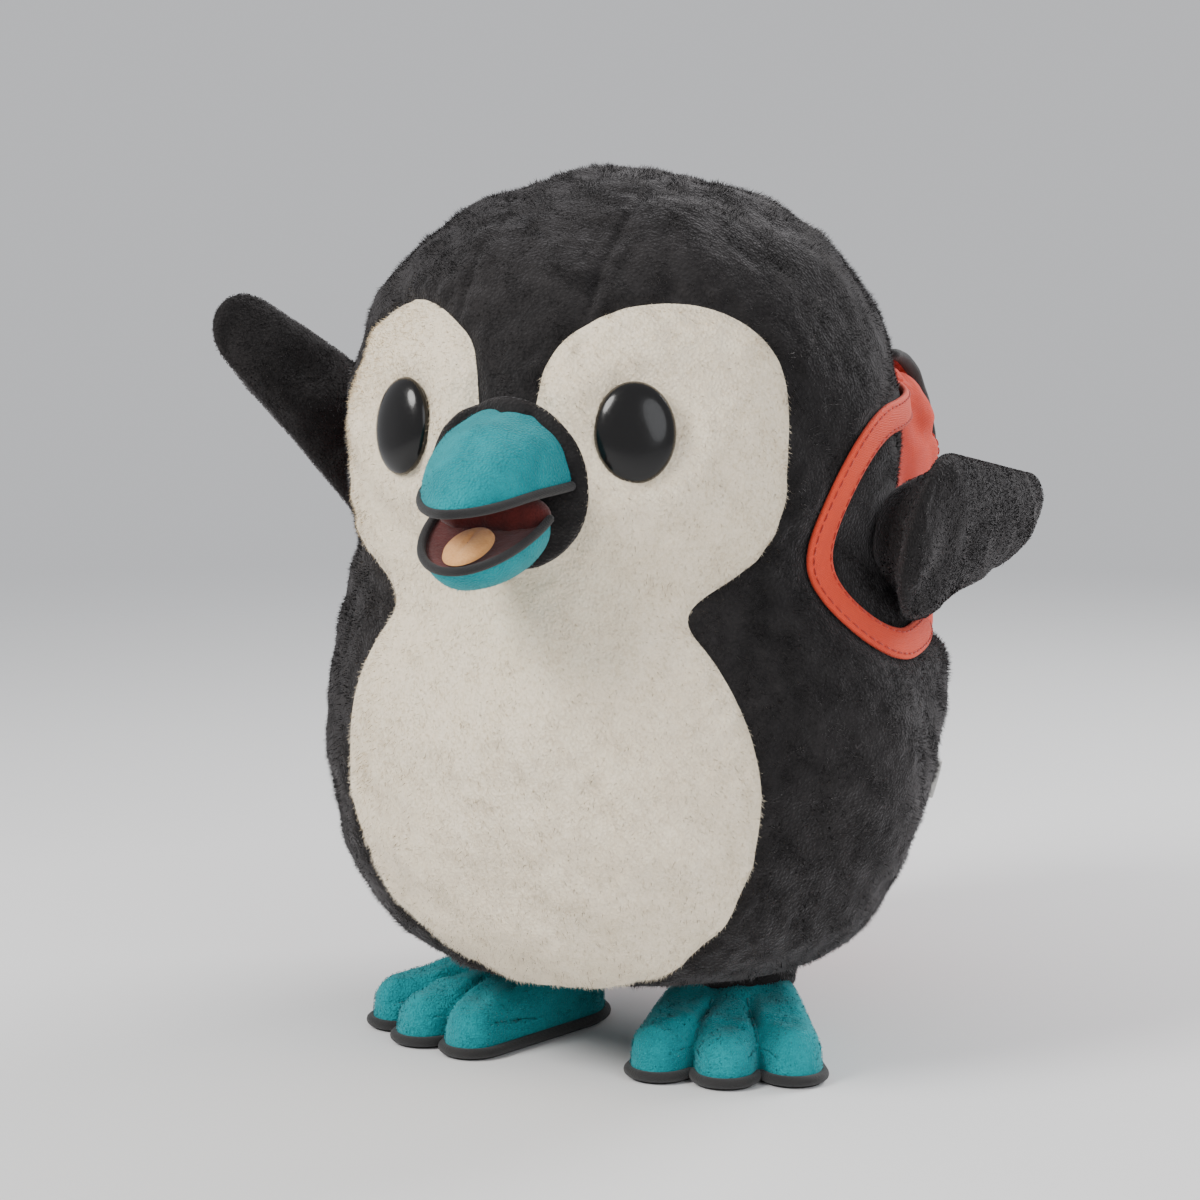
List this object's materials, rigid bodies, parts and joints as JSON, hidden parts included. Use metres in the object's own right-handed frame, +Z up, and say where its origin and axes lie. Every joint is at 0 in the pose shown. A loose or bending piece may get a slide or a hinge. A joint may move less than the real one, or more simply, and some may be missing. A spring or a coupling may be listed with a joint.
{
  "type": "plush penguin",
  "caption": "Standing plush penguin with a raised flipper, an open beak, three-toed feet and a small strapped backpack.",
  "frame": {"origin": "on the ground, at the centre of the box that encloses the standing toy", "axes": "+Z up, -Y the way the penguin faces, +X towards its left flipper; the backpack is on the +Y side"},
  "size_m": [0.2613, 0.2943, 0.2963],
  "materials": {
    "black_plush": "soft pile",
    "cream_plush": "soft pile",
    "teal_fleece": "short pile",
    "red_canvas": "woven",
    "black_binding": "woven tape",
    "red_webbing": "woven tape",
    "maroon_felt": "felt",
    "peach_felt": "felt",
    "eye_plastic": "polished",
    "joint_plastic": "moulded",
    "polyester_fill": "loose fibre",
    "bag_cloth": "plain weave",
    "pellets": "granules",
    "snap_metal": "satin",
    "label_satin": "satin"
  },
  "bodies": {
    "torso": {"front_panel": "cream_plush", "head_gusset": "black_plush", "left_side_panel": "black_plush", "right_side_panel": "black_plush", "base_panel": "black_plush", "body_stuffing": "polyester_fill", "ballast_bag": "bag_cloth", "ballast_pellets": "pellets", "left_eye": "eye_plastic", "right_eye": "eye_plastic", "eye_washers": "joint_plastic", "beak_surround": "black_plush", "upper_beak_cover": "teal_fleece", "upper_beak_stuffing": "polyester_fill", "mouth_roof": "maroon_felt", "shoulder_washers": "joint_plastic", "ankle_washers": "joint_plastic", "pack_pouch": "red_canvas", "pack_piping": "black_binding", "snap_socket": "snap_metal", "left_strap": "red_webbing", "right_strap": "red_webbing", "care_label": "label_satin"},
    "left_flipper": {"left_flipper_outer": "black_plush", "left_flipper_inner": "black_plush", "left_flipper_stuffing": "polyester_fill", "left_shoulder_stud": "joint_plastic", "left_shoulder_lock": "joint_plastic"},
    "right_flipper": {"right_flipper_outer": "black_plush", "right_flipper_inner": "black_plush", "right_flipper_stuffing": "polyester_fill", "right_shoulder_stud": "joint_plastic", "right_shoulder_lock": "joint_plastic"},
    "left_foot": {"left_leg_cover": "black_plush", "left_foot_top": "teal_fleece", "left_foot_sole": "black_binding", "left_foot_piping": "black_binding", "left_foot_stuffing": "polyester_fill", "left_ankle_stud": "joint_plastic", "left_ankle_lock": "joint_plastic"},
    "right_foot": {"right_leg_cover": "black_plush", "right_foot_top": "teal_fleece", "right_foot_sole": "black_binding", "right_foot_piping": "black_binding", "right_foot_stuffing": "polyester_fill", "right_ankle_stud": "joint_plastic", "right_ankle_lock": "joint_plastic"},
    "lower_beak": {"lower_beak_cover": "teal_fleece", "lower_beak_stuffing": "polyester_fill", "mouth_floor": "maroon_felt", "tongue": "peach_felt"},
    "pack_flap": {"pack_flap": "red_canvas", "flap_binding": "black_binding", "snap_cap": "snap_metal"}
  },
  "joints": [
    {"name": "left_shoulder", "type": "hinge", "parent": "torso", "child": "left_flipper", "pos_m": [0.102, -0.00962, 0.18138], "axis": [0.9781, 0.0181, -0.2071], "range_deg": [-6, 64]},
    {"name": "right_shoulder", "type": "hinge", "parent": "torso", "child": "right_flipper", "pos_m": [-0.07145, 0.02397, 0.18432], "axis": [-0.9069, 0.3831, -0.1752], "range_deg": [-47, 30]},
    {"name": "left_ankle", "type": "hinge", "parent": "torso", "child": "left_foot", "pos_m": [0.048, 0, 0.03], "axis": [0, 0, 1], "range_deg": [-20, 30]},
    {"name": "right_ankle", "type": "hinge", "parent": "torso", "child": "right_foot", "pos_m": [-0.024, 0, 0.03], "axis": [0, 0, -1], "range_deg": [-28, 22]},
    {"name": "beak_hinge", "type": "hinge", "parent": "torso", "child": "lower_beak", "pos_m": [0.012, -0.11373, 0.18954], "axis": [1, 0, 0], "range_deg": [-14, 8], "stiffness_Nm_per_rad": 0.05},
    {"name": "flap_hinge", "type": "hinge", "parent": "torso", "child": "pack_flap", "pos_m": [0.012, 0.09086, 0.23192], "axis": [1, 0, 0], "range_deg": [0, 110]}
  ]
}
